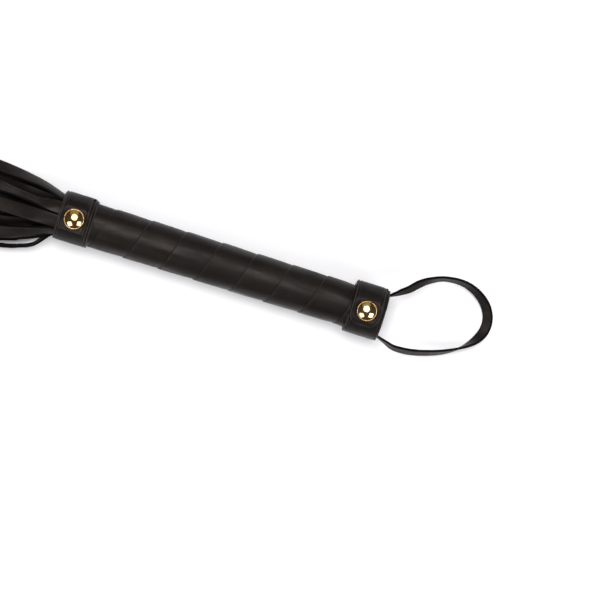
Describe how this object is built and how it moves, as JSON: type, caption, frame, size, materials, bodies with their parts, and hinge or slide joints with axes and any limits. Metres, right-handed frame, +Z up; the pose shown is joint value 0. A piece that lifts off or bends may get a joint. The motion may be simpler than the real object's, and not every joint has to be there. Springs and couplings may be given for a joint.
{
  "type": "short leather flogger",
  "caption": "Short leather flogger: a straight grip bound with a spiral leather strip, a studded cuff at each end, a wrist strap and a bundle of flat leather tails.",
  "frame": {"origin": "middle of the wrapped grip, on the axis of the handle", "axes": "+X along the handle to the butt cuff and wrist strap, -X to the tails, +Z up, with both stud domes up; the object lies on a surface at z = -13.9 mm"},
  "size_m": [0.6091, 0.0807, 0.0315],
  "materials": {
    "leather_wrap": "smooth black, satin",
    "leather_cuff": "smooth black, satin",
    "leather_tail": "black, fine grain",
    "leather_strap": "black, fine grain",
    "leather_inner": "undyed brown",
    "stud_brass": "polished",
    "nail_steel": "plain",
    "wood": "turned, unfinished"
  },
  "bodies": {
    "handle": {"handle_core": "wood", "grip_liner": "leather_inner", "grip_wrap": "leather_wrap", "tail_cuff": "leather_cuff", "butt_cuff": "leather_cuff", "tail_stud_cap": "stud_brass", "tail_stud_nail": "nail_steel", "butt_stud_cap": "stud_brass", "butt_stud_nail": "nail_steel", "butt_packing": "leather_inner", "butt_end_disc": "leather_cuff", "strap_end_left": "leather_strap", "strap_end_right": "leather_strap", "tail_root_outer": "leather_tail", "tail_root_middle": "leather_tail", "tail_root_inner": "leather_tail"},
    "tails": {"tail_01": "leather_tail", "tail_02": "leather_tail", "tail_03": "leather_tail", "tail_04": "leather_tail", "tail_05": "leather_tail", "tail_06": "leather_tail", "tail_07": "leather_tail", "tail_08": "leather_tail", "tail_09": "leather_tail", "tail_10": "leather_tail", "tail_11": "leather_tail", "tail_12": "leather_tail", "tail_13": "leather_tail", "tail_14": "leather_tail", "tail_15": "leather_tail", "tail_16": "leather_tail", "tail_17": "leather_tail", "tail_18": "leather_tail", "tail_19": "leather_tail", "tail_20": "leather_tail"},
    "loop": {"wrist_strap": "leather_strap"}
  },
  "joints": [
    {"name": "tails_swing", "type": "hinge", "parent": "handle", "child": "tails", "pos_m": [-0.103, 0, 0], "axis": [0, 1, 0], "range_deg": [-50, 50]},
    {"name": "loop_swing", "type": "hinge", "parent": "handle", "child": "loop", "pos_m": [0.1003, 0, 0], "axis": [0, -1, 0], "range_deg": [-70, 80]}
  ]
}
